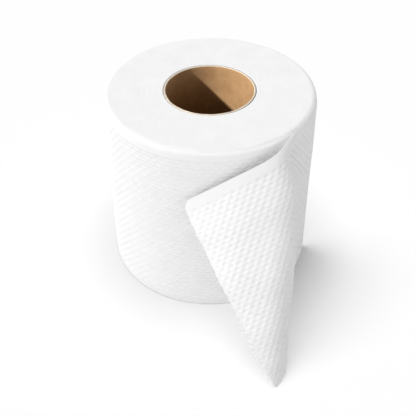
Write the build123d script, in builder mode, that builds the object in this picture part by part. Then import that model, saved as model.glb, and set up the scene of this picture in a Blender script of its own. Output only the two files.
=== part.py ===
from build123d import *
import os
from math import atan2, cos, degrees, floor, hypot, radians, sin

# A toilet paper roll standing on its end, in millimetres.
# The origin is on the roll's axis at the foot, +Z is up and the front is towards -Y.
# Angles around the roll are counted from the front towards +X.

# Roll and tube
web_width = 100.0         # height of the roll, and width of the paper
roll_radius = 53.5
tube_bore_radius = 22.0
tube_wall = 1.0
tube_clearance = 0.25     # loose first turn around the tube
rim_round = 3.0           # soft upper corner
foot_bevel = 1.4          # the lower corner, pressed flat by the roll's own weight
margin_width = 5.0        # plain paper above and below the embossed field
margin_drop = 0.35        # the plain margins lie this much lower than the embossed field

# Helical seam between the edges of the tube's inner ply
seam_turns = 0.7
seam_width = 0.8
seam_depth = 0.2
seam_start_angle = -40.0  # from +X, at the foot

# Turns that show on both ends of the roll
turn_pitch = 7.0
turn_groove_width = 0.45
turn_groove_depth = 0.35

# The loose tail
web_thickness = 0.5
tail_length = 83.0        # along its foot, from the roll to the torn end
peel_angle = 62.0         # where it leaves the roll
leave_angle = 14.0        # how steeply it leaves the roll's surface there
root_length = 1.5         # stretch that stays in the outer turn
peel_bend_length = 6.0
tail_heading = 7.4        # angle of its foot from the -Y direction, past the peel bend
foot_rise = 0.8           # rise of its foot, so that the tip clears the floor

# The fold that lets its upper corner fall to the left
tip_bend_length = 12.0    # stretch of the foot beyond the first crease, up to the tip
crease_fan_depth = 300.0  # the creases fan out from a point this far beyond the foot
bend_top_length = 28.0    # stretch of the upper edge that the main bend takes up
bend_turn = 79.0          # angle turned in the main bend
droop_turn = 35.0         # angle turned slowly from there to the torn end
corner_loss = 2.0         # stretch of the upper edge that is torn off with its corner
creases_per_loft = 4


def direction(angle):
    """Level direction at an angle from -Y towards -X."""
    return Vector(-sin(radians(angle)), -cos(radians(angle)), 0)


def risen(x, y):
    """Place in the flat sheet at x from the peel bend and y from its foot, which rises."""
    return Vector(x, y + foot_slope * x)


def share_at(arm, height):
    """Share of an arm from the fan point at which it is this high above the sheet's foot."""
    return (height + foot_slope * fan.X - fan.Y) / (arm.Y - foot_slope * arm.X)


def crease_angle(x):
    """Angle at the fan point from the first crease to the one at x on the upper edge."""
    first = risen(0, web_width) - fan
    here = risen(x, web_width) - fan
    return degrees(atan2(first.Y, first.X) - atan2(here.Y, here.X))


def rolled(along, back, angle, pull):
    """Crease and back of the sheet after it has rolled over an angle of itself onto a cone.

    The cone touches the sheet along the crease, and turns it by pull times the angle.
    """
    cone_axis = Axis((0, 0, 0), along * -pull - back)
    turn = angle * hypot(pull, 1)
    return along.rotate(cone_axis, turn), back.rotate(cone_axis, turn)


def folded_crease(x):
    """Plane of the folded sheet's section along the crease at x on its upper edge, and its length."""
    angle = crease_angle(x)
    along = (sheet_plane.from_local_coords(risen(0, web_width)) - fan_in_space).normalized()
    back = sheet_plane.z_dir
    along, back = rolled(along, back, min(angle, bend_angle), bend_turn / bend_angle)
    if angle > bend_angle:
        along, back = rolled(along, back, angle - bend_angle, droop_turn / (end_angle - bend_angle))
    arm = risen(x, web_width) - fan
    start = max(share_at(arm, 0), (sheet_length - fan.X) / arm.X)
    foot = fan_in_space + along * (arm.length * start)
    return Plane(foot, x_dir=along, z_dir=along.cross(back)), arm.length * (1 - start)


def turn_arcs(inner_radius, half_turns):
    """A spiral that widens clockwise, as half circles about two centres in turn."""
    start = peel_angle - 90
    shift = turn_pitch / 2
    for k in range(half_turns):
        centre = Vector(shift, 0).rotate(Axis.Z, start) * (k % 2)
        CenterArc(centre, inner_radius + k * shift, start - 180 * k, -180)


tube_radius = tube_bore_radius + tube_wall
paper_inner_radius = tube_radius + tube_clearance
end_face_width = roll_radius - paper_inner_radius

with BuildPart() as core_tube:
    with BuildSketch():
        Circle(tube_radius)
        Circle(tube_bore_radius, mode=Mode.SUBTRACT)
    extrude(amount=web_width)
    # The seam's groove runs past both ends, so that it cuts through the rims too
    with BuildLine(Plane.XY.offset(-seam_width).rotated((0, 0, seam_start_angle))) as seam:
        Helix(web_width / seam_turns, web_width + 2 * seam_width, tube_bore_radius)
    seam_start = seam.line @ 0
    with BuildSketch(Plane(seam_start, x_dir=(seam_start.X, seam_start.Y, 0), z_dir=seam.line % 0)):
        Rectangle(2 * seam_depth, seam_width)
    sweep(path=seam.line, is_frenet=True, mode=Mode.SUBTRACT)

with BuildPart() as paper_web:
    with BuildSketch(Plane.XZ):
        with BuildLine():
            margin_radius = roll_radius - margin_drop
            side = Polyline(
                (paper_inner_radius, web_width),
                (paper_inner_radius, 0),
                (margin_radius - foot_bevel, 0),
                (margin_radius, foot_bevel),
                (roll_radius, margin_width),
                (roll_radius, web_width - margin_width),
                (margin_radius, web_width - rim_round),
            )
            rim = CenterArc((margin_radius - rim_round, web_width - rim_round), rim_round, 0, 90)
            Line(rim @ 1, side @ 0)
        make_face()
    revolve(axis=Axis.Z)

    # Spiral grooves between the turns, on both ends
    half_turns = 2 * floor(end_face_width / turn_pitch - 0.5)
    first_radius = roll_radius - half_turns * turn_pitch / 2
    for end in (Plane.XY, Plane.XY.offset(web_width)):
        with BuildSketch(end):
            with BuildLine():
                turn_arcs(first_radius, half_turns)
            trace(line_width=turn_groove_width)
        extrude(amount=turn_groove_depth, both=True, mode=Mode.SUBTRACT)

    # The tail's root in the outer turn, and the bend at which it leaves the roll
    peel_heading = 90 - peel_angle - leave_angle
    peel_turn = peel_heading - tail_heading
    with BuildSketch():
        with BuildLine():
            peel_point = direction(-peel_angle) * roll_radius
            peel_bend = JernArc(
                peel_point, direction(peel_heading), peel_bend_length / radians(peel_turn), peel_turn
            )
            Line(peel_point - direction(peel_heading) * root_length, peel_point)
            offset(amount=web_thickness, side=Side.RIGHT)
        make_face()
    extrude(amount=web_width)

    # The tail's flat stretch, a triangle up to the first crease
    sheet_length = tail_length - peel_bend_length
    foot_slope = foot_rise / sheet_length
    level = direction(tail_heading)
    sheet_plane = Plane(peel_bend @ 1, x_dir=level, z_dir=level.cross(Vector(0, 0, 1)))
    with BuildSketch(sheet_plane):
        with BuildLine():
            Polyline(risen(0, 0), risen(sheet_length - tip_bend_length, 0), risen(0, web_width), close=True)
        make_face()
    extrude(amount=web_thickness)

    # The folded stretch, which rolls onto two cones along creases from one point
    first_foot = risen(sheet_length - tip_bend_length, 0)
    fan = first_foot + (first_foot - risen(0, web_width)).normalized() * crease_fan_depth
    fan_in_space = sheet_plane.from_local_coords(fan)
    bend_angle = crease_angle(bend_top_length)
    end_angle = crease_angle(sheet_length)
    tip_arm = risen(sheet_length, 0) - fan
    tip_crease = fan.X + tip_arm.X * share_at(tip_arm, web_width)
    lofts = ((0, tip_crease), (tip_crease, bend_top_length), (bend_top_length, sheet_length - corner_loss))
    for first, last in lofts:
        for i in range(creases_per_loft + 1):
            crease_plane, crease_length = folded_crease(first + (last - first) * i / creases_per_loft)
            with BuildSketch(crease_plane):
                Rectangle(crease_length, web_thickness, align=(Align.MIN, Align.MIN))
        loft()

core_tube.part.label = "core_tube"
paper_web.part.label = "paper_web"

os.makedirs("parts", exist_ok=True)
export_step(core_tube.part, "parts/core_tube.step")
export_step(paper_web.part, "parts/paper_web.step")
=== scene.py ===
from math import atan2, cos, hypot, pi, radians, sin

import bpy
import numpy as np
from mathutils import Matrix, Vector


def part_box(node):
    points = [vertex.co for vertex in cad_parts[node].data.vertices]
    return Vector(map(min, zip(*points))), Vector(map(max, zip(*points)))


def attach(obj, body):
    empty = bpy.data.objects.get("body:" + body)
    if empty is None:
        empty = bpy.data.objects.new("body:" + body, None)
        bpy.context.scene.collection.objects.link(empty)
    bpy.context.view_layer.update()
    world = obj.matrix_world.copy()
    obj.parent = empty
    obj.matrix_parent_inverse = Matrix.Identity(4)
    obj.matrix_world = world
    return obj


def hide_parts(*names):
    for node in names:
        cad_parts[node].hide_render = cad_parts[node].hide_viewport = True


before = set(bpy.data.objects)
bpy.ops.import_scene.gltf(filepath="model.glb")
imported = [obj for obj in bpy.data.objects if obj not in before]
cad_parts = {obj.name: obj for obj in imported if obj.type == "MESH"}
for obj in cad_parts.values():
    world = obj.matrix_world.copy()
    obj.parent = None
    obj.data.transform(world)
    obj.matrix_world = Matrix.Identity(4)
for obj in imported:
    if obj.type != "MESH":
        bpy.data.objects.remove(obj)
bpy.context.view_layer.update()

# A toilet paper roll standing on its end, with its loose tail peeled off and folded over.
# Points are worked out in millimetres and written to meshes in metres, with +Z up and the front towards -Y.
# Flat coordinates of the paper: s along the web, 0 where the tail leaves the roll, and t up from its foot.

MM = 0.001

# The roll and its tube; the first three are read from the upper corners of the nodes' boxes
WEB_WIDTH = round(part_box("core_tube")[1][2] / MM, 2)
ROLL_RADIUS = round(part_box("paper_web")[1][0] / MM, 2)
TUBE_RADIUS = round(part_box("core_tube")[1][0] / MM, 2)
TUBE_WALL = 1.0
TUBE_CLEARANCE = 0.25     # loose first turn around the tube
TURN_STEP = 0.42          # how far one turn of the web lies outside the one before it
RIM_ROUND = 3.0           # soft upper corner
FOOT_ROUND = 0.9          # lower corner
MARGIN_WIDTH = 5.0        # plain paper above and below the embossed field
MARGIN_DROP = 0.35        # the upper margin lies this much lower than the embossed field
FOOT_DROP_SHARE = 0.3     # of that at the lower margin, which the roll's weight spreads

# The helical gap between the edges of the tube's inner ply
SEAM_TURNS = 0.7
SEAM_START_ANGLE = -40.0  # from +X, at the foot
SEAM_WIDTH = 0.8
SEAM_DEPTH = 0.2

# The board of the tube
TUBE_SEGMENTS = 208
TUBE_LIP = 0.25           # round of its edges
FRAY_HEIGHT = 1.0         # stretch below the upper end that is frayed
FRAY_DEPTH = 0.1
BOARD_UNEVENNESS = 0.04
BOARD_OVALNESS = 0.05
UPPER_CUT = 0.32          # depth to which an end shows the paler cut board
LOWER_CUT = 0.2
BOARD_SHADE = (0.5, 0.75) # share of the fibres' noise in its shade, and what is added to that
SPECK_LEVEL = 0.69        # above this level, a noise makes a speck
SPECK_STRENGTH = 0.45
SPECK_COLOUR = (0.2, 0.11, 0.05, 1)

# The cut edges of the turns, on both ends of the roll
TURNS_SEGMENTS = 288
TURNS_INSET = 0.75        # the outer sheets lie this far outside the solid turns
INNER_ROUND = 0.5         # of the turns at the tube
RING_PITCH = 0.5          # of the finest rings, which are bump alone
RIDGE_PITCH = 0.94        # of the rings that are modelled
RIDGE_DEPTH = 0.07
RIDGE_CHANGE = 9.0        # the longer this is, the more slowly the ridges come and go along a radius
SWELL_HEIGHT = 0.10
FUZZ_HEIGHT = 0.045
RELIEF_START = 0.6        # the relief begins this far from the tube
RELIEF_RISE = 1.5         # and takes this long to reach its height
RELIEF_END = 1.0          # it ends this far past the beginning of the rim's round
RELIEF_FALL = 2.0         # and takes this long to fall to nothing
FOOT_DENT_SHARE = 0.5     # of the dents' depth at the foot, on which the roll stands

# The loose tail
TAIL_LENGTH = 83.0        # along its foot, from the roll to the torn end
PEEL_ANGLE = 62.0         # where it leaves the roll, from the front towards +X
LEAVE_ANGLE = 14.0        # how steeply it leaves the roll's surface there
PEEL_BEND = 6.0           # length of the bend at which it leaves
TAIL_HEADING = 7.4        # angle of its foot from the -Y direction, past the peel bend
FOOT_RISE = 0.8           # rise of its foot, so that the tip clears the floor
TIP_BEND = 12.0           # stretch of the foot beyond the first crease, up to the tip
CREASE_FAN_DEPTH = 300.0  # the creases fan out from a point this far beyond the foot
BEND_TOP_LENGTH = 28.0    # stretch of the upper edge that the main bend takes up
BEND_TURN = 79.0          # angle turned in the main bend
DROOP_TURN = 35.0         # angle turned slowly from there to the torn end

# How the tail comes away from the roll's own shape
RELEASE = 14.0            # stretch in which it loses the shape of the roll's corners
CLING = 1.0               # stretch of the upper edge that still clings to the roll
SLOW_RELEASE = 24.0       # how much longer the upper edge takes to come away
CLING_START = 55.0        # the cling grows between these heights
CLING_FULL = 95.0
BLUR_STEPS = 5            # grid steps to each side over which the tail's places are averaged

# The paper
SHEET_LENGTH = 101.6
SHEET_GAP = 0.08          # between two sheets at their perforation
TUCK = 9.0                # stretch of the last sheet that is out of sight under the tail's root
PLY_THICKNESS = 0.28
HIDDEN_DEPTH = 0.38       # of a wound sheet's plain inner side, which the middles of its dots pass
FLOOR_CLEARANCE = 0.05
TAIL_STEP = 0.5           # grid step of the tail's sheet, both of whose sides show
WOUND_STEP = 0.4          # grid step of the sheets on the roll
HIDDEN_STEPS = 4          # of those to one step on the side that nothing shows
BULGE_HEIGHT = 0.12       # on the roll
WAVE_HEIGHT = 0.5         # on the loose paper
SLACK_START = 8.0         # where the loose paper begins to slacken
SLACK_LENGTH = 40.0       # stretch over which it does so

# Its staggered dots
DOT_PITCH = 4.27
DOT_ROWS = 41
DOT_HALF_LENGTH = 1.8
DOT_HALF_WIDTH = 1.2      # on the loose paper
DOT_DEPTH = 0.38
TAUT_DOT_HALF_WIDTH = 0.75
TAUT_DOT_DEPTH = 0.62     # on the wound paper
DOT_POWER = 1.3           # of a dot's profile: above 1, it begins softly

# Its perforations, slits with bonds between them
PERFORATION_PITCH = 4.45
PERFORATION_REACH = 0.6   # of the dip, to each side
PERFORATION_DEPTH = 0.16
BOND_FULL = 0.15          # share of the pitch up to which a bond is whole, from its middle
BOND_GONE = 0.4           # and at which it has ended
BOND_HOLD = 0.7           # share of the dip that a bond takes away

# Its torn end
TEAR_STRETCH = 4.0        # last stretch of the sheet, which is drawn out to the torn outline
TEETH_TOP = 75.0          # the teeth grow from this height down
TEETH_FULL = 25.0         # to this one
TEETH_LEAST = 0.3
TEETH_MOST = 0.8
BOND_TEETH = 0.3          # regular teeth at the bonds, next to ragged ones of 1
CORNER_LOSS = 3.2         # torn off at the upper corner
CORNER_HEIGHT = 5.0
CORNER_CURVE = 2.5        # above 1, the loss grows towards the corner's point
TIP_LOSS = 1.2            # torn off at the tip
TIP_HEIGHT = 2.5
PULLED_SHARE = 0.7        # how much of the dots' depth the tear has pulled flat
PULLED_STRETCH = 2.5      # beginning this far before the end
PULLED_GROWTH = 2.0       # and growing over this length

# The fibres of the torn end
FIBRE_COUNT = 420
FIBRE_LONGEST = 2.2
FIBRE_SHARES = (0.25, 1.0)   # of that length, before the power that shortens most of them
FIBRE_SHORTENING = 1.6
FIBRE_WIDTHS = (0.04, 0.09)
FIBRE_TAPER = 0.75        # share of its width that a fibre loses towards its end
FIBRE_CROWDING = 1.5      # above 1, more of them are near the tip
FIBRE_STRAY = 0.7
FIBRE_CURL = 0.6
FIBRE_INSET = 0.12        # behind the middle of the sheet
FIBRE_CLEARANCE = 0.06    # above the floor
FIBRE_SIDES = 3
FIBRE_RINGS = 4

# The camera, from the photograph: a picture of 416 pixels, its focal length in pixels and its place
PICTURE_WIDTH = 416
FOCAL_LENGTH = 782.86
CAMERA_PLACE = (3.18, -331.89, 310.49)
CAMERA_YAW = -0.01262     # in radians, like the next two
CAMERA_DOWN = 0.71631
CAMERA_ROLL = -0.00153

# Lamps: the way their light travels in degrees from +X towards +Y, how steeply it falls in degrees,
# their share of full white on a face turned to them, and how wide they look in degrees
KEY = (36.0, 32.0, 0.28, 3.0)
TUBE_KEY = (30.0, 32.0, 2.05, 3.0)
WINDOW = (-30.0, 68.0, 0.595, 50.0)
THROUGH_TAIL = (180.0, 15.0, 0.30, 40.0)
TAIL_SHADOW_LAMP = (-6.0, 72.0, 1.12, 37.0)
FOOT_SHADOW_LAMP = (0.0, 90.0, 1.27, 38.0)
FILL_LOW = 1.65           # the world's light at the horizon, which falls to none towards above and below
FILL_TOP = 0.75           # height of the way on the unit sphere at which there is none left
FLOOR_COLOUR = 0.24       # towards everything but the camera
FLOOR_SEEN = 0.375        # towards the camera, so that the lit floor is white and only its shadow shows
FLOOR_REACH = 6.0         # from the roll's axis, in metres

# Mesh and material
SHARP_EDGE_ANGLE = 50.0   # above this angle between its faces, an edge is shaded as sharp
NOISE_LOW = 0.3           # noise seldom leaves this range
NOISE_HIGH = 0.7
RIPPLE_GAIN = 1.8         # brings the sum of many waves back to about -1 to 1


def smooth(x):
    """Smooth step from 0 to 1 as x goes from 0 to 1."""
    x = np.clip(x, 0, 1)
    return x * x * (3 - 2 * x)


def ripples(count, longest, shortest, seed):
    """A smooth random function of two coordinates, about -1 to 1, with waves of these lengths."""
    draws = np.random.default_rng(seed)
    length = np.exp(draws.uniform(np.log(shortest), np.log(longest), count))
    angle = draws.uniform(0, pi, count)
    phase = draws.uniform(0, 2 * pi, count)
    share = length / length.sum()

    def height(x, y):
        total = np.zeros(np.broadcast(x, y).shape)
        for k in range(count):
            across = x * np.cos(angle[k]) + y * np.sin(angle[k])
            total += share[k] * np.sin(2 * pi * across / length[k] + phase[k])
        return total * RIPPLE_GAIN

    return height


# Camera

def make_camera():
    """The photograph's camera, which looks level towards +Y before it is turned."""
    forward = Vector((
        sin(CAMERA_YAW) * cos(CAMERA_DOWN), cos(CAMERA_YAW) * cos(CAMERA_DOWN), -sin(CAMERA_DOWN)
    ))
    level = Vector((cos(CAMERA_YAW), -sin(CAMERA_YAW), 0))
    right = level * cos(CAMERA_ROLL) + level.cross(forward) * sin(CAMERA_ROLL)
    up = right.cross(forward)
    data = bpy.data.cameras.new("camera")
    data.sensor_width = 36.0
    data.lens = FOCAL_LENGTH * data.sensor_width / PICTURE_WIDTH
    data.clip_end = 20.0
    camera = bpy.data.objects.new("camera", data)
    turned_to = Matrix((right, up, -forward)).transposed().to_4x4()
    camera.matrix_world = Matrix.Translation(Vector(CAMERA_PLACE) * MM) @ turned_to
    bpy.context.collection.objects.link(camera)
    bpy.context.scene.camera = camera


# Materials

def add_node(tree, kind, inputs=None, **properties):
    """A new node; an input is given as a number, a colour or another node's output."""
    made = tree.nodes.new(kind)
    for key, value in properties.items():
        setattr(made, key, value)
    for key, value in (inputs or {}).items():
        if isinstance(value, bpy.types.NodeSocket):
            tree.links.new(value, made.inputs[key])
        else:
            made.inputs[key].default_value = value
    return made


def calculate(tree, operation, a, b=0.0, c=0.0):
    return add_node(tree, "ShaderNodeMath", {0: a, 1: b, 2: c}, operation=operation).outputs[0]


def noise(tree, place, scale, detail, stretch=(1, 1, 1)):
    """Noise between 0 and 1; place is in millimetres, and scale is in waves per millimetre."""
    stretched = add_node(tree, "ShaderNodeVectorMath", {0: place, 1: stretch}, operation="MULTIPLY")
    inputs = {"Vector": stretched.outputs[0], "Scale": scale, "Detail": detail}
    return add_node(tree, "ShaderNodeTexNoise", inputs).outputs["Fac"]


def place_in_mm(tree):
    """A point's place on the object in millimetres."""
    inputs = {0: add_node(tree, "ShaderNodeTexCoord").outputs["Object"], "Scale": 1 / MM}
    return add_node(tree, "ShaderNodeVectorMath", inputs, operation="SCALE").outputs[0]


def flat_place(tree):
    """The paper's own flat coordinates in millimetres, which its mesh carries."""
    return add_node(tree, "ShaderNodeAttribute", attribute_name="flat").outputs["Vector"]


def new_material(name, roughness, specular=0.2):
    material = bpy.data.materials.new(name)
    material.use_nodes = True
    shader = material.node_tree.nodes["Principled BSDF"]
    shader.inputs["Roughness"].default_value = roughness
    shader.inputs["Specular IOR Level"].default_value = specular
    return material, material.node_tree, shader


def blend_colours(tree, share, low, high):
    """Colours from low to high over the usual range of a noise."""
    ramp = add_node(tree, "ShaderNodeValToRGB", {"Fac": share})
    first, last = ramp.color_ramp.elements
    first.position, last.position = NOISE_LOW, NOISE_HIGH
    first.color, last.color = (*low, 1), (*high, 1)
    return ramp.outputs["Color"]


def mix_colours(tree, share, first, second):
    """The first colour where share is 0, and the second where it is 1."""
    inputs = {0: share, 6: first, 7: second}
    return add_node(tree, "ShaderNodeMix", inputs, data_type="RGBA").outputs[2]


def set_colour(tree, shader, colour):
    tree.links.new(colour, shader.inputs["Base Color"])


def add_bump(tree, shader, height, distance, below=None):
    """Bump of this height in millimetres, on top of another bump's normal."""
    inputs = {"Height": height, "Distance": distance * MM, "Strength": 1.0}
    if below:
        inputs["Normal"] = below
    normal = add_node(tree, "ShaderNodeBump", inputs).outputs["Normal"]
    tree.links.new(normal, shader.inputs["Normal"])
    return normal


def tissue_material():
    """Soft white paper: fine crepe lines across the web and tangled fibres."""
    material, tree, shader = new_material("tissue", roughness=0.95)
    place = flat_place(tree)
    cloudy = noise(tree, place, scale=0.12, detail=4)
    set_colour(tree, shader, blend_colours(tree, cloudy, low=(0.905, 0.905, 0.91), high=(0.93, 0.93, 0.93)))
    crepe = noise(tree, place, scale=1.0, detail=3, stretch=(2.6, 0.45, 1))
    fibres = noise(tree, place, scale=3.2, detail=4)
    normal = add_bump(tree, shader, crepe, distance=0.012)
    add_bump(tree, shader, fibres, distance=0.004, below=normal)
    return material


def turns_material():
    """The cut edges of many turns of paper: fine rings with a felted surface and faint saw marks."""
    material, tree, shader = new_material("tissue_turns", roughness=0.97)
    place = place_in_mm(tree)
    x, y, _ = add_node(tree, "ShaderNodeSeparateXYZ", {0: place}).outputs
    level = add_node(tree, "ShaderNodeCombineXYZ", {0: x, 1: y}).outputs[0]
    radius = add_node(tree, "ShaderNodeVectorMath", {0: level}, operation="LENGTH").outputs["Value"]
    angle = calculate(tree, "ARCTAN2", y, x)
    wander = noise(tree, place, scale=0.15, detail=2)
    rings_out = calculate(tree, "DIVIDE", radius, RING_PITCH)
    turn = calculate(tree, "ADD", rings_out, calculate(tree, "DIVIDE", angle, 2 * pi))
    wave = calculate(tree, "SINE", calculate(tree, "MULTIPLY", calculate(tree, "ADD", turn, wander), 2 * pi))
    rings = calculate(tree, "MULTIPLY", wave, noise(tree, place, scale=0.5, detail=2))
    marks = noise(tree, place, scale=0.5, detail=4, stretch=(1.6, 0.22, 0.5))
    felt = noise(tree, place, scale=2.4, detail=5)
    cloudy = noise(tree, place, scale=0.09, detail=4)
    set_colour(tree, shader, blend_colours(tree, cloudy, low=(0.885, 0.885, 0.892), high=(0.92, 0.92, 0.922)))
    normal = add_bump(tree, shader, rings, distance=0.01)
    normal = add_bump(tree, shader, marks, distance=0.12, below=normal)
    add_bump(tree, shader, felt, distance=0.03, below=normal)
    return material


def board_material():
    """Brown recycled board: long and short fibres and darker specks."""
    material, tree, shader = new_material("tube_board", roughness=0.85)
    place = place_in_mm(tree)
    cloudy = noise(tree, place, scale=0.16, detail=5)
    brown = blend_colours(tree, cloudy, low=(0.27, 0.155, 0.07), high=(0.335, 0.20, 0.095))
    fibres = noise(tree, place, scale=1.0, detail=4, stretch=(1, 1, 3.5))
    shade = calculate(tree, "MULTIPLY_ADD", fibres, *BOARD_SHADE)
    shaded = add_node(tree, "ShaderNodeVectorMath", {0: brown, 1: shade}, operation="MULTIPLY").outputs[0]
    specks = calculate(tree, "GREATER_THAN", noise(tree, place, scale=1.7, detail=1), SPECK_LEVEL)
    speck_share = calculate(tree, "MULTIPLY", specks, SPECK_STRENGTH)
    set_colour(tree, shader, mix_colours(tree, speck_share, shaded, SPECK_COLOUR))
    normal = add_bump(tree, shader, fibres, distance=0.06)
    add_bump(tree, shader, noise(tree, place, scale=4.0, detail=3), distance=0.02, below=normal)
    return material


def cut_board_material():
    """The cut edge of the board, paler than its faces."""
    material, tree, shader = new_material("tube_board_edge", roughness=0.95)
    fuzz = noise(tree, place_in_mm(tree), scale=2.0, detail=4)
    set_colour(tree, shader, blend_colours(tree, fuzz, low=(0.42, 0.36, 0.28), high=(0.62, 0.56, 0.48)))
    add_bump(tree, shader, fuzz, distance=0.15)
    return material


def floor_material():
    """White floor that the camera sees at full white where nothing shades it."""
    material, tree, shader = new_material("floor", roughness=1.0, specular=0.0)
    seen = add_node(tree, "ShaderNodeLightPath").outputs["Is Camera Ray"]
    colours = [(grey, grey, grey, 1) for grey in (FLOOR_COLOUR, FLOOR_SEEN)]
    set_colour(tree, shader, mix_colours(tree, seen, *colours))
    return material


# Meshes

def finish_mesh(name, points, faces, materials):
    """An object at the origin from points in millimetres."""
    mesh = bpy.data.meshes.new(name)
    mesh.from_pydata((np.asarray(points) * MM).tolist(), [], faces)
    mesh.polygons.foreach_set("use_smooth", np.ones(len(mesh.polygons), dtype=bool))
    mesh.set_sharp_from_angle(angle=radians(SHARP_EDGE_ANGLE))
    mesh.update()
    piece = bpy.data.objects.new(name, mesh)
    for material in materials:
        mesh.materials.append(material)
    bpy.context.collection.objects.link(piece)
    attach(piece, "root")
    return piece


def set_flat_places(piece, places):
    """Gives each point of a piece of paper the flat coordinates that its material reads."""
    attribute = piece.data.attributes.new("flat", "FLOAT_VECTOR", "POINT")
    attribute.data.foreach_set("vector", np.ravel(places))


def quads(grid, flip=False):
    """Faces between the points of a two-way array of point numbers."""
    a, b, c, d = grid[:-1, :-1], grid[:-1, 1:], grid[1:, 1:], grid[1:, :-1]
    corners = (a, d, c, b) if flip else (a, b, c, d)
    return np.stack([corner.ravel() for corner in corners], -1).tolist()


def border(grid):
    """The point numbers round a grid's border, in one direction, without the first again."""
    return np.concatenate([grid[:-1, 0], grid[-1, :-1], grid[:0:-1, -1], grid[0, :0:-1]])


def thin_sheet(name, outer, inner, flat, material):
    """A closed sheet between two grids of points, the inner one with the same or larger steps."""
    steps = (outer.shape[0] - 1) // (inner.shape[0] - 1)
    near = np.arange(outer.shape[0] * outer.shape[1]).reshape(outer.shape[:2])
    far = near.size + np.arange(inner.shape[0] * inner.shape[1]).reshape(inner.shape[:2])
    faces = quads(near) + quads(far, flip=True)
    fine, coarse = border(near), border(far)
    half = (steps + 1) // 2
    # Round the border, each inner step is joined to the outer steps beside it
    for k in range(len(coarse)):
        edge = [int(fine[(k * steps + m) % len(fine)]) for m in range(steps + 1)]
        a, b = int(coarse[k]), int(coarse[(k + 1) % len(coarse)])
        faces += [(edge[m], edge[m + 1], a if m < half else b) for m in range(steps)]
        faces.append((edge[half], b, a))
    points = np.concatenate([outer.reshape(-1, 3), inner.reshape(-1, 3)])
    piece = finish_mesh(name, points, faces, [material])
    both = np.concatenate([flat.reshape(-1, 2), flat[::steps, ::steps].reshape(-1, 2)])
    set_flat_places(piece, np.column_stack([both, np.zeros(len(both))]))
    return piece


def ring_solid(name, profile, turns, materials, reshape):
    """A closed ring from a closed profile of (radius, height) at these turns; reshape moves its points."""
    radius = np.repeat(profile[:, :1], len(turns), axis=1)
    height = np.repeat(profile[:, 1:], len(turns), axis=1)
    turn = np.repeat(turns[None, :], len(profile), axis=0)
    radius, turn, height = reshape(radius, turn, height)
    points = np.stack([radius * np.cos(turn), radius * np.sin(turn), height], -1).reshape(-1, 3)
    grid = np.arange(len(points)).reshape(len(profile), len(turns))
    grid = np.concatenate([grid, grid[:1]])
    grid = np.concatenate([grid, grid[:, :1]], axis=1)
    return finish_mesh(name, points, quads(grid), materials)


def arc(centre, radius, start, end, count):
    """Points of an arc in a profile, from one angle in degrees to another."""
    angle = np.radians(np.linspace(start, end, count))
    return np.column_stack([centre[0] + radius * np.cos(angle), centre[1] + radius * np.sin(angle)])


def straight(start, end, count):
    """Points between two corners of a profile, without the corners."""
    share = np.linspace(0, 1, count + 2)[1:-1, None]
    return np.asarray(start) * (1 - share) + np.asarray(end) * share


# The web's form on the roll

bulges = ripples(count=14, longest=60, shortest=18, seed=3)
waves = ripples(count=12, longest=46, shortest=16, seed=11)


def edge_profile(t):
    """How far the wound paper lies inside the roll's radius, and its height."""
    from_edge = np.minimum(t, WEB_WIDTH - t)
    drop = MARGIN_DROP * (1 - smooth((from_edge - RIM_ROUND) / (MARGIN_WIDTH - RIM_ROUND)))
    drop = drop * np.where(t < WEB_WIDTH / 2, FOOT_DROP_SHARE, 1)
    over_rim = np.clip(t - (WEB_WIDTH - RIM_ROUND), 0, None) / RIM_ROUND
    under_foot = np.clip(FOOT_ROUND - t, 0, None) / FOOT_ROUND
    inset = drop + RIM_ROUND * (1 - np.cos(over_rim)) + FOOT_ROUND * (1 - np.cos(under_foot))
    height = np.clip(t, FOOT_ROUND, WEB_WIDTH - RIM_ROUND)
    return inset, height + RIM_ROUND * np.sin(over_rim) - FOOT_ROUND * np.sin(under_foot)


def wound(s, t):
    """Place on the outer turns of the roll, where s is negative."""
    inset, height = edge_profile(t)
    radius = ROLL_RADIUS + TURN_STEP * s / (2 * pi * ROLL_RADIUS) - inset + BULGE_HEIGHT * bulges(s, t)
    angle = radians(PEEL_ANGLE) - s / ROLL_RADIUS
    return np.stack([radius * np.sin(angle), -radius * np.cos(angle), height], -1)


# The web's form on the tail: a level bend, a flat triangle, and two cones whose creases share one point

def direction(angle):
    """Level direction at an angle from -Y towards -X."""
    return np.array([-sin(radians(angle)), -cos(radians(angle)), 0.0])


def turned(vector, axis, angle):
    """A vector turned about an axis by each angle of an array."""
    axis = axis / np.linalg.norm(axis)
    angle = np.asarray(angle)[..., None]
    across = np.cross(axis, vector)
    return vector * np.cos(angle) + across * np.sin(angle) + axis * axis.dot(vector) * (1 - np.cos(angle))


def rolled(along, back, angle, pull):
    """Crease and back of the sheet after it has rolled over an angle of itself onto a cone.

    The cone touches the sheet along the crease, and turns it by pull times the angle.
    """
    cone_axis = -pull * along - back
    turn = angle * hypot(pull, 1)
    return turned(along, cone_axis, turn), turned(back, cone_axis, turn)


flat_length = TAIL_LENGTH - PEEL_BEND
peel_heading = 90 - PEEL_ANGLE - LEAVE_ANGLE
bend_curvature = radians(TAIL_HEADING - peel_heading) / PEEL_BEND
peel_point = direction(-PEEL_ANGLE) * ROLL_RADIUS


def peel_line(s):
    """Foot of the tail along the bend at which it leaves the roll."""
    start = radians(peel_heading)
    end = start + bend_curvature * s
    x = peel_point[0] + (np.cos(end) - cos(start)) / bend_curvature
    y = peel_point[1] - (np.sin(end) - sin(start)) / bend_curvature
    return np.stack([x, y, np.zeros_like(x)], -1)


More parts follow.
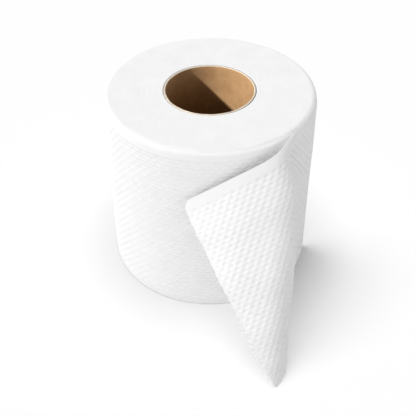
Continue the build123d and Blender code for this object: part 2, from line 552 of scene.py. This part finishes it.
# The flat sheet has its origin at the end of that bend, and tail_way along its foot
sheet_origin = peel_line(PEEL_BEND)
tail_way = direction(TAIL_HEADING)
tail_back = np.cross(tail_way, (0, 0, 1))
first_foot = np.array([flat_length - TIP_BEND, FOOT_RISE * (flat_length - TIP_BEND) / flat_length])
first_top = np.array([0, WEB_WIDTH])
fan = first_foot + (first_foot - first_top) / np.linalg.norm(first_foot - first_top) * CREASE_FAN_DEPTH
fan_in_space = sheet_origin + tail_way * fan[0] + np.array([0, 0, fan[1]])


def crease_angle(x, y):
    """Angle at the fan point from the first crease to a place in the flat sheet."""
    return atan2(WEB_WIDTH - fan[1], -fan[0]) - np.arctan2(y - fan[1], x - fan[0])


bend_angle = float(crease_angle(BEND_TOP_LENGTH, WEB_WIDTH + FOOT_RISE * BEND_TOP_LENGTH / flat_length))
end_angle = float(crease_angle(flat_length, WEB_WIDTH + FOOT_RISE))
bend_pull = radians(BEND_TURN) / bend_angle
droop_pull = radians(DROOP_TURN) / (end_angle - bend_angle)
first_crease = tail_way * -fan[0] + np.array([0, 0, WEB_WIDTH - fan[1]])
first_crease = first_crease / np.linalg.norm(first_crease)
second_crease, second_back = rolled(first_crease, tail_back, bend_angle, bend_pull)


def free(s, t):
    """Place on the loose tail, where s is positive."""
    x = s - PEEL_BEND
    y = t + FOOT_RISE * np.clip(x / flat_length, 0, None)
    upright = np.stack([np.zeros_like(y), np.zeros_like(y), y], -1)
    bend = peel_line(np.minimum(s, PEEL_BEND)) + upright
    flat = sheet_origin + tail_way * x[..., None] + upright
    unfolded = np.where(x[..., None] < 0, bend, flat)
    angle = crease_angle(x, y)
    reach = np.hypot(x - fan[0], y - fan[1])[..., None]
    bent, _ = rolled(first_crease, tail_back, np.clip(angle, 0, bend_angle), bend_pull)
    drooped, _ = rolled(second_crease, second_back, np.clip(angle - bend_angle, 0, None), droop_pull)
    folded = fan_in_space + reach * np.where(angle[..., None] > bend_angle, drooped, bent)
    return np.where((angle[..., None] > 0) & (x[..., None] > 0), folded, unfolded)


def web(s, t):
    """Place of each point of the web; s is evenly spaced along the first axis.

    From the root of the tail onwards, hold is how much of the roll's rounded corners the paper still
    has, and cling how much of the roll's own curve its upper stretch still follows.
    """
    if s[-1] < 0:
        return wound(*np.meshgrid(s, t, indexing="ij"))
    extra = (s[1] - s[0]) * np.arange(1, BLUR_STEPS + 1)
    longer = np.concatenate([s[0] - extra[::-1], s, s[-1] + extra])
    along, upward = np.meshgrid(longer, t, indexing="ij")
    inset, height = edge_profile(upward)
    clinging = smooth((upward - CLING_START) / (CLING_FULL - CLING_START))
    hold = 1 - smooth((along - CLING * clinging) / (RELEASE + SLOW_RELEASE * clinging))
    loose = free(np.maximum(along, 0), upward + hold * (height - upward))
    loose = loose + hold[..., None] * inset[..., None] * tail_back
    cling = (hold * clinging)[..., None]
    loose = loose * (1 - cling) + wound(along, upward) * cling
    points = np.where(along[..., None] < 0, wound(np.minimum(along, 0), upward), loose)
    kernel = np.ones(2 * BLUR_STEPS + 1) / (2 * BLUR_STEPS + 1)
    return np.apply_along_axis(lambda line: np.convolve(line, kernel, mode="valid"), 0, points)


# The sheets of paper

def normals_of(points):
    """Unit normals of a grid of points, towards the outside of the roll."""
    normal = np.cross(np.gradient(points, axis=1), np.gradient(points, axis=0))
    return normal / np.linalg.norm(normal, axis=-1, keepdims=True)


def emboss(s, t, slack):
    """Depth of the staggered dots that are pressed into the paper, narrow where it isn't slack."""
    row_pitch = (WEB_WIDTH - 2 * MARGIN_WIDTH) / DOT_ROWS
    row = np.floor((t - MARGIN_WIDTH) / row_pitch)
    inside = (row >= 0) & (row < DOT_ROWS)
    shift = DOT_PITCH / 2 * (row % 2)
    half_width = TAUT_DOT_HALF_WIDTH + (DOT_HALF_WIDTH - TAUT_DOT_HALF_WIDTH) * slack
    depth = TAUT_DOT_DEPTH + (DOT_DEPTH - TAUT_DOT_DEPTH) * slack
    across = (np.mod(s + shift, DOT_PITCH) - DOT_PITCH / 2) / DOT_HALF_LENGTH
    upward = ((t - MARGIN_WIDTH) - (row + 0.5) * row_pitch) / half_width
    near = np.clip(1 - across**2 - upward**2, 0, 1)
    return -depth * np.where(inside, near**DOT_POWER, 0)


def perforation(s, t, start, end):
    """The paper dips to its cut slits at both ends of a sheet, and less at the bonds between them."""
    gap = np.minimum(s - start, end - s)
    from_bond = np.abs(np.mod(t, PERFORATION_PITCH) / PERFORATION_PITCH - 0.5)
    bond = smooth((BOND_GONE - from_bond) / (BOND_GONE - BOND_FULL))
    return -PERFORATION_DEPTH * np.exp(-((gap / PERFORATION_REACH) ** 2)) * (1 - BOND_HOLD * bond)


def torn_edge(t):
    """How far the torn end reaches past its straight line."""
    growth = smooth((TEETH_TOP - t) / (TEETH_TOP - TEETH_FULL))
    size = TEETH_LEAST + (TEETH_MOST - TEETH_LEAST) * growth
    ragged = ripples(count=30, longest=6, shortest=1.2, seed=5)(t, 0 * t)
    teeth = size * (ragged + BOND_TEETH * np.sin(2 * pi * t / PERFORATION_PITCH))
    corner = CORNER_LOSS * np.clip((t - (WEB_WIDTH - CORNER_HEIGHT)) / CORNER_HEIGHT, 0, 1) ** CORNER_CURVE
    tip = TIP_LOSS * np.clip((TIP_HEIGHT - t) / TIP_HEIGHT, 0, 1) ** 2
    return teeth - corner - tip


def sheet_piece(name, start, end, material, hidden_inside=True):
    """One sheet of the web between two perforations, and the points of its two sides."""
    steps, step = (HIDDEN_STEPS, WOUND_STEP) if hidden_inside else (1, TAIL_STEP)
    s = np.linspace(start, end, steps * max(1, round((end - start) / step / steps)) + 1)
    t = np.linspace(0, WEB_WIDTH, steps * round(WEB_WIDTH / step / steps) + 1)
    along, upward = np.meshgrid(s, t, indexing="ij")
    points = web(s, t)
    normal = normals_of(points)
    slack = smooth((along - SLACK_START) / SLACK_LENGTH)
    dots_left = 1 - PULLED_SHARE * smooth((along - (TAIL_LENGTH - PULLED_STRETCH)) / PULLED_GROWTH)
    lift = emboss(along, upward, slack) * dots_left + WAVE_HEIGHT * slack * waves(along, upward)
    if end < TAIL_LENGTH:
        lift = lift + perforation(along, upward, start, end)
    else:
        pull = np.clip((along - (end - TEAR_STRETCH)) / TEAR_STRETCH, 0, 1) * torn_edge(upward)
        points = points + np.gradient(points, s, axis=0) * pull[..., None]
    outer = points + normal * lift[..., None]
    inner = points - normal * HIDDEN_DEPTH if hidden_inside else outer - normal * PLY_THICKNESS
    for side in (outer, inner):
        side[..., 2] = np.maximum(side[..., 2], FLOOR_CLEARANCE)
    piece = thin_sheet(name, outer, inner[::steps, ::steps], np.stack([along, upward], -1), material)
    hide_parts("paper_web")
    return piece, outer, inner


def make_fibres(roots, ways, normals, material):
    """Loose fibres that stick out of the torn end, each a thin bent tube."""
    draws = np.random.default_rng(seed=7)
    points, faces = [], []
    for _ in range(FIBRE_COUNT):
        place = draws.uniform(0, 1) ** FIBRE_CROWDING * (len(roots) - 1)
        low = int(place)
        root = roots[low] * (1 - place + low) + roots[low + 1] * (place - low)
        way = ways[low] + FIBRE_STRAY * draws.normal(size=3)
        way /= np.linalg.norm(way)
        curl = draws.normal(size=3) * FIBRE_CURL
        length = FIBRE_LONGEST * draws.uniform(*FIBRE_SHARES) ** FIBRE_SHORTENING
        width = draws.uniform(*FIBRE_WIDTHS)
        side = np.cross(way, normals[low])
        side /= np.linalg.norm(side)
        other = np.cross(way, side)
        first = len(points)
        for ring in range(FIBRE_RINGS):
            share = ring / (FIBRE_RINGS - 1)
            centre = root + (way * share + curl * share**2) * length - FIBRE_INSET * normals[low]
            centre[2] = max(centre[2], FIBRE_CLEARANCE)
            for corner in range(FIBRE_SIDES):
                spin = 2 * pi * corner / FIBRE_SIDES
                out = side * cos(spin) + other * sin(spin)
                points.append(centre + width * (1 - FIBRE_TAPER * share) * out)
        rings = first + np.arange(FIBRE_RINGS * FIBRE_SIDES).reshape(FIBRE_RINGS, FIBRE_SIDES)
        faces += quads(np.column_stack([rings, rings[:, 0]]))
        faces += [rings[0, ::-1].tolist(), rings[-1].tolist()]
    piece = finish_mesh("torn_fibres", points, faces, [material])
    set_flat_places(piece, points)
    return piece


# The turns behind the outer sheets, and the tube

def make_wound_turns(material):
    """The turns under the outer sheets, with their cut edges on both ends."""
    inner_radius = TUBE_RADIUS + TUBE_CLEARANCE
    margin_radius = ROLL_RADIUS - MARGIN_DROP
    side_radius = margin_radius - TURNS_INSET
    rim_centre = (margin_radius - RIM_ROUND, WEB_WIDTH - RIM_ROUND)
    edge_angle = np.degrees(1.0)   # where the outer sheets end, as RIM_ROUND of their width is on the rim
    top_start, top_end = (inner_radius + INNER_ROUND, WEB_WIDTH), (rim_centre[0], WEB_WIDTH)
    side_top, side_foot = (side_radius, rim_centre[1]), (side_radius, FOOT_ROUND)
    foot_start, foot_end = (margin_radius - FOOT_ROUND, 0), (inner_radius + INNER_ROUND, 0)
    wall_foot, wall_top = (inner_radius, INNER_ROUND), (inner_radius, WEB_WIDTH - INNER_ROUND)
    profile = np.concatenate([
        arc((top_start[0], wall_top[1]), INNER_ROUND, 180, 90, count=4),
        straight(top_start, top_end, count=112),
        arc(rim_centre, RIM_ROUND, 90, edge_angle, count=7),
        arc(rim_centre, RIM_ROUND - TURNS_INSET, edge_angle - 1, 0, count=7),
        straight(side_top, side_foot, count=8),
        [side_foot, foot_start],
        straight(foot_start, foot_end, count=60),
        arc((foot_end[0], INNER_ROUND), INNER_ROUND, -90, -180, count=4),
        straight(wall_foot, wall_top, count=12),
    ])
    fading = ripples(count=10, longest=3.0, shortest=0.8, seed=21)
    swell = ripples(count=18, longest=24, shortest=6, seed=22)
    fuzz = ripples(count=24, longest=2.2, shortest=0.7, seed=23)

    def reshape(radius, turn, height):
        """Ridges that come and go, swells and fuzz on the upper end, and their dents on the lower one."""
        x, y = radius * np.cos(turn), radius * np.sin(turn)
        begun = smooth((radius - inner_radius - RELIEF_START) / RELIEF_RISE)
        left = smooth((rim_centre[0] + RELIEF_END - radius) / RELIEF_FALL)
        ridge = np.abs(np.mod(radius / RIDGE_PITCH + turn / (2 * pi), 1) - 0.5) * 2
        strength = 0.5 + 0.5 * fading(np.cos(turn) + radius / RIDGE_CHANGE, np.sin(turn))
        relief = -RIDGE_DEPTH * ridge * strength + SWELL_HEIGHT * swell(x, y) + FUZZ_HEIGHT * fuzz(x, y)
        lift = begun * left * relief
        dent = np.clip(-lift, 0, None) * FOOT_DENT_SHARE
        on_foot = np.isclose(height, 0)
        return radius, turn, height + np.where(height > WEB_WIDTH / 2, lift, 0) + np.where(on_foot, dent, 0)

    turns = np.linspace(0, 2 * pi, TURNS_SEGMENTS, endpoint=False)
    piece = ring_solid("wound_turns", profile[::-1], turns, [material], reshape)
    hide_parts("paper_web")
    return piece


def make_tube(board, edge):
    """The board tube, with the helical gap between the edges of its inner ply."""
    bore = TUBE_RADIUS - TUBE_WALL
    middle = (bore + TUBE_RADIUS) / 2
    low, top = TUBE_LIP, WEB_WIDTH - TUBE_LIP
    profile = np.concatenate([
        straight((bore, 0), (bore, WEB_WIDTH), count=60),
        arc((bore + TUBE_LIP, top), TUBE_LIP, 180, 90, count=4),
        [(middle, WEB_WIDTH)],
        arc((TUBE_RADIUS - TUBE_LIP, top), TUBE_LIP, 90, 0, count=4),
        straight((TUBE_RADIUS, WEB_WIDTH), (TUBE_RADIUS, 0), count=12),
        arc((TUBE_RADIUS - TUBE_LIP, low), TUBE_LIP, 0, -90, count=4),
        arc((bore + TUBE_LIP, low), TUBE_LIP, -90, -180, count=4),
    ])

    # Turns across the seam, in halves of its width, with the depth of the groove at each
    seam = np.array([-1.3, -1.0, -0.85, 0.85, 1.0, 1.3]) * (SEAM_WIDTH / 2 / bore)
    seam_depth = np.array([0, 0, SEAM_DEPTH, SEAM_DEPTH, 0, 0])
    rest = np.linspace(seam[-1], 2 * pi + seam[0], TUBE_SEGMENTS - len(seam) + 2)[1:-1]
    groove = np.concatenate([seam_depth, np.zeros(len(rest))])
    fuzz = ripples(count=20, longest=9, shortest=1.5, seed=31)
    oval = ripples(count=5, longest=150, shortest=60, seed=32)

    def reshape(radius, turn, height):
        """The seam's groove, which winds up the bore, the frayed upper end and an uneven wall."""
        radius = radius + np.where(radius < middle, groove[None, :], 0)
        turn = turn + radians(SEAM_START_ANGLE) + 2 * pi * SEAM_TURNS * height / WEB_WIDTH
        around = bore * turn
        frayed = smooth((height - (WEB_WIDTH - FRAY_HEIGHT)) / FRAY_HEIGHT)
        height = height + frayed * (FRAY_DEPTH * fuzz(around, radius) - FRAY_DEPTH)
        radius = radius + BOARD_UNEVENNESS * fuzz(around, height) + BOARD_OVALNESS * oval(around, height)
        return radius, turn, height

    turns = np.concatenate([seam, rest])
    piece = ring_solid("tube", profile[::-1], turns, [board, edge], reshape)
    heights = np.array([face.center.z for face in piece.data.polygons]) / MM
    cut = (heights > WEB_WIDTH - UPPER_CUT) | (heights < LOWER_CUT)
    piece.data.polygons.foreach_set("material_index", cut.astype(np.int32))
    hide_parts("core_tube")
    return piece


# Floor and light

def make_floor():
    corners = [(x * FLOOR_REACH, y * FLOOR_REACH, 0) for x, y in ((-1, -1), (1, -1), (1, 1), (-1, 1))]
    mesh = bpy.data.meshes.new("floor")
    mesh.from_pydata(corners, [], [(0, 1, 2, 3)])
    mesh.materials.append(floor_material())
    floor = bpy.data.objects.new("floor", mesh)
    bpy.context.collection.objects.link(floor)
    return floor


def collection_of(name, pieces):
    collection = bpy.data.collections.new(name)
    for piece in pieces:
        collection.objects.link(piece)
    return collection


def make_lamp(name, setting, pieces, casters=None):
    """A distant lamp that lights only these pieces, and in whose light only the casters cast a shadow."""
    travel, fall, share, spread = setting
    data = bpy.data.lights.new(name, "SUN")
    data.energy = pi * share
    data.angle = radians(spread)
    lamp = bpy.data.objects.new(name, data)
    level = cos(radians(fall))
    way = Vector((cos(radians(travel)) * level, sin(radians(travel)) * level, -sin(radians(fall))))
    lamp.rotation_euler = way.to_track_quat("-Z", "Y").to_euler()
    bpy.context.collection.objects.link(lamp)
    lamp.light_linking.receiver_collection = collection_of(f"lit_by_{name}", pieces)
    if casters:
        lamp.light_linking.blocker_collection = collection_of(f"blocks_{name}", casters)


def make_world():
    """Fill light, strongest at the horizon; the camera sees plain white."""
    world = bpy.data.worlds.new("world")
    world.use_nodes = True
    tree = world.node_tree
    way = add_node(tree, "ShaderNodeTexCoord").outputs["Generated"]
    rise = calculate(tree, "ABSOLUTE", add_node(tree, "ShaderNodeSeparateXYZ", {0: way}).outputs[2])
    left = calculate(tree, "SUBTRACT", 1.0, calculate(tree, "DIVIDE", rise, FILL_TOP))
    fill = calculate(tree, "MULTIPLY", calculate(tree, "MAXIMUM", left, 0.0), FILL_LOW)
    seen = add_node(tree, "ShaderNodeLightPath").outputs["Is Camera Ray"]
    strength = add_node(tree, "ShaderNodeMix", {0: seen, 2: fill, 3: 1.0}, data_type="FLOAT").outputs[0]
    background = tree.nodes["Background"]
    background.inputs["Color"].default_value = (1, 1, 1, 1)
    tree.links.new(strength, background.inputs["Strength"])
    bpy.context.scene.world = world


# The scene

make_camera()
bpy.context.scene.view_settings.view_transform = "Standard"
floor = make_floor()
make_world()

tissue = tissue_material()
wound_turns = make_wound_turns(turns_material())
tube = make_tube(board_material(), cut_board_material())

attached = SHEET_LENGTH - TAIL_LENGTH
tail, tail_outer, tail_inner = sheet_piece("sheet_1", -attached, TAIL_LENGTH, tissue, hidden_inside=False)

# One turn of sheets, each beginning where the one before it ends
around = 2 * pi * ROLL_RADIUS
wound_sheets = []
end = -attached
while end > -around:
    start = max(end - SHEET_LENGTH, -around - TUCK)
    piece, _, _ = sheet_piece(f"sheet_{len(wound_sheets) + 2}", start, end - SHEET_GAP, tissue)
    wound_sheets.append(piece)
    end = start

middle = (tail_outer + tail_inner) / 2
outward = middle[-1] - middle[-2]
outward /= np.linalg.norm(outward, axis=-1, keepdims=True)
fibres = make_fibres(middle[-1], outward, normals_of(middle)[-1], tissue)

paper = [wound_turns, tail] + wound_sheets + [fibres]
make_lamp("key", KEY, paper)
make_lamp("window", WINDOW, paper)
make_lamp("tube_key", TUBE_KEY, [tube])
# Light that the thin tail lets through reaches the sheets at the front of the roll
make_lamp("through_tail", THROUGH_TAIL, wound_sheets[-2:], [wound_turns])
# The floor has lamps of its own, one for the tail's shadow and one for the roll's
make_lamp("tail_shadow_lamp", TAIL_SHADOW_LAMP, [floor], [tail])
make_lamp("foot_shadow_lamp", FOOT_SHADOW_LAMP, [floor], [wound_turns] + wound_sheets)
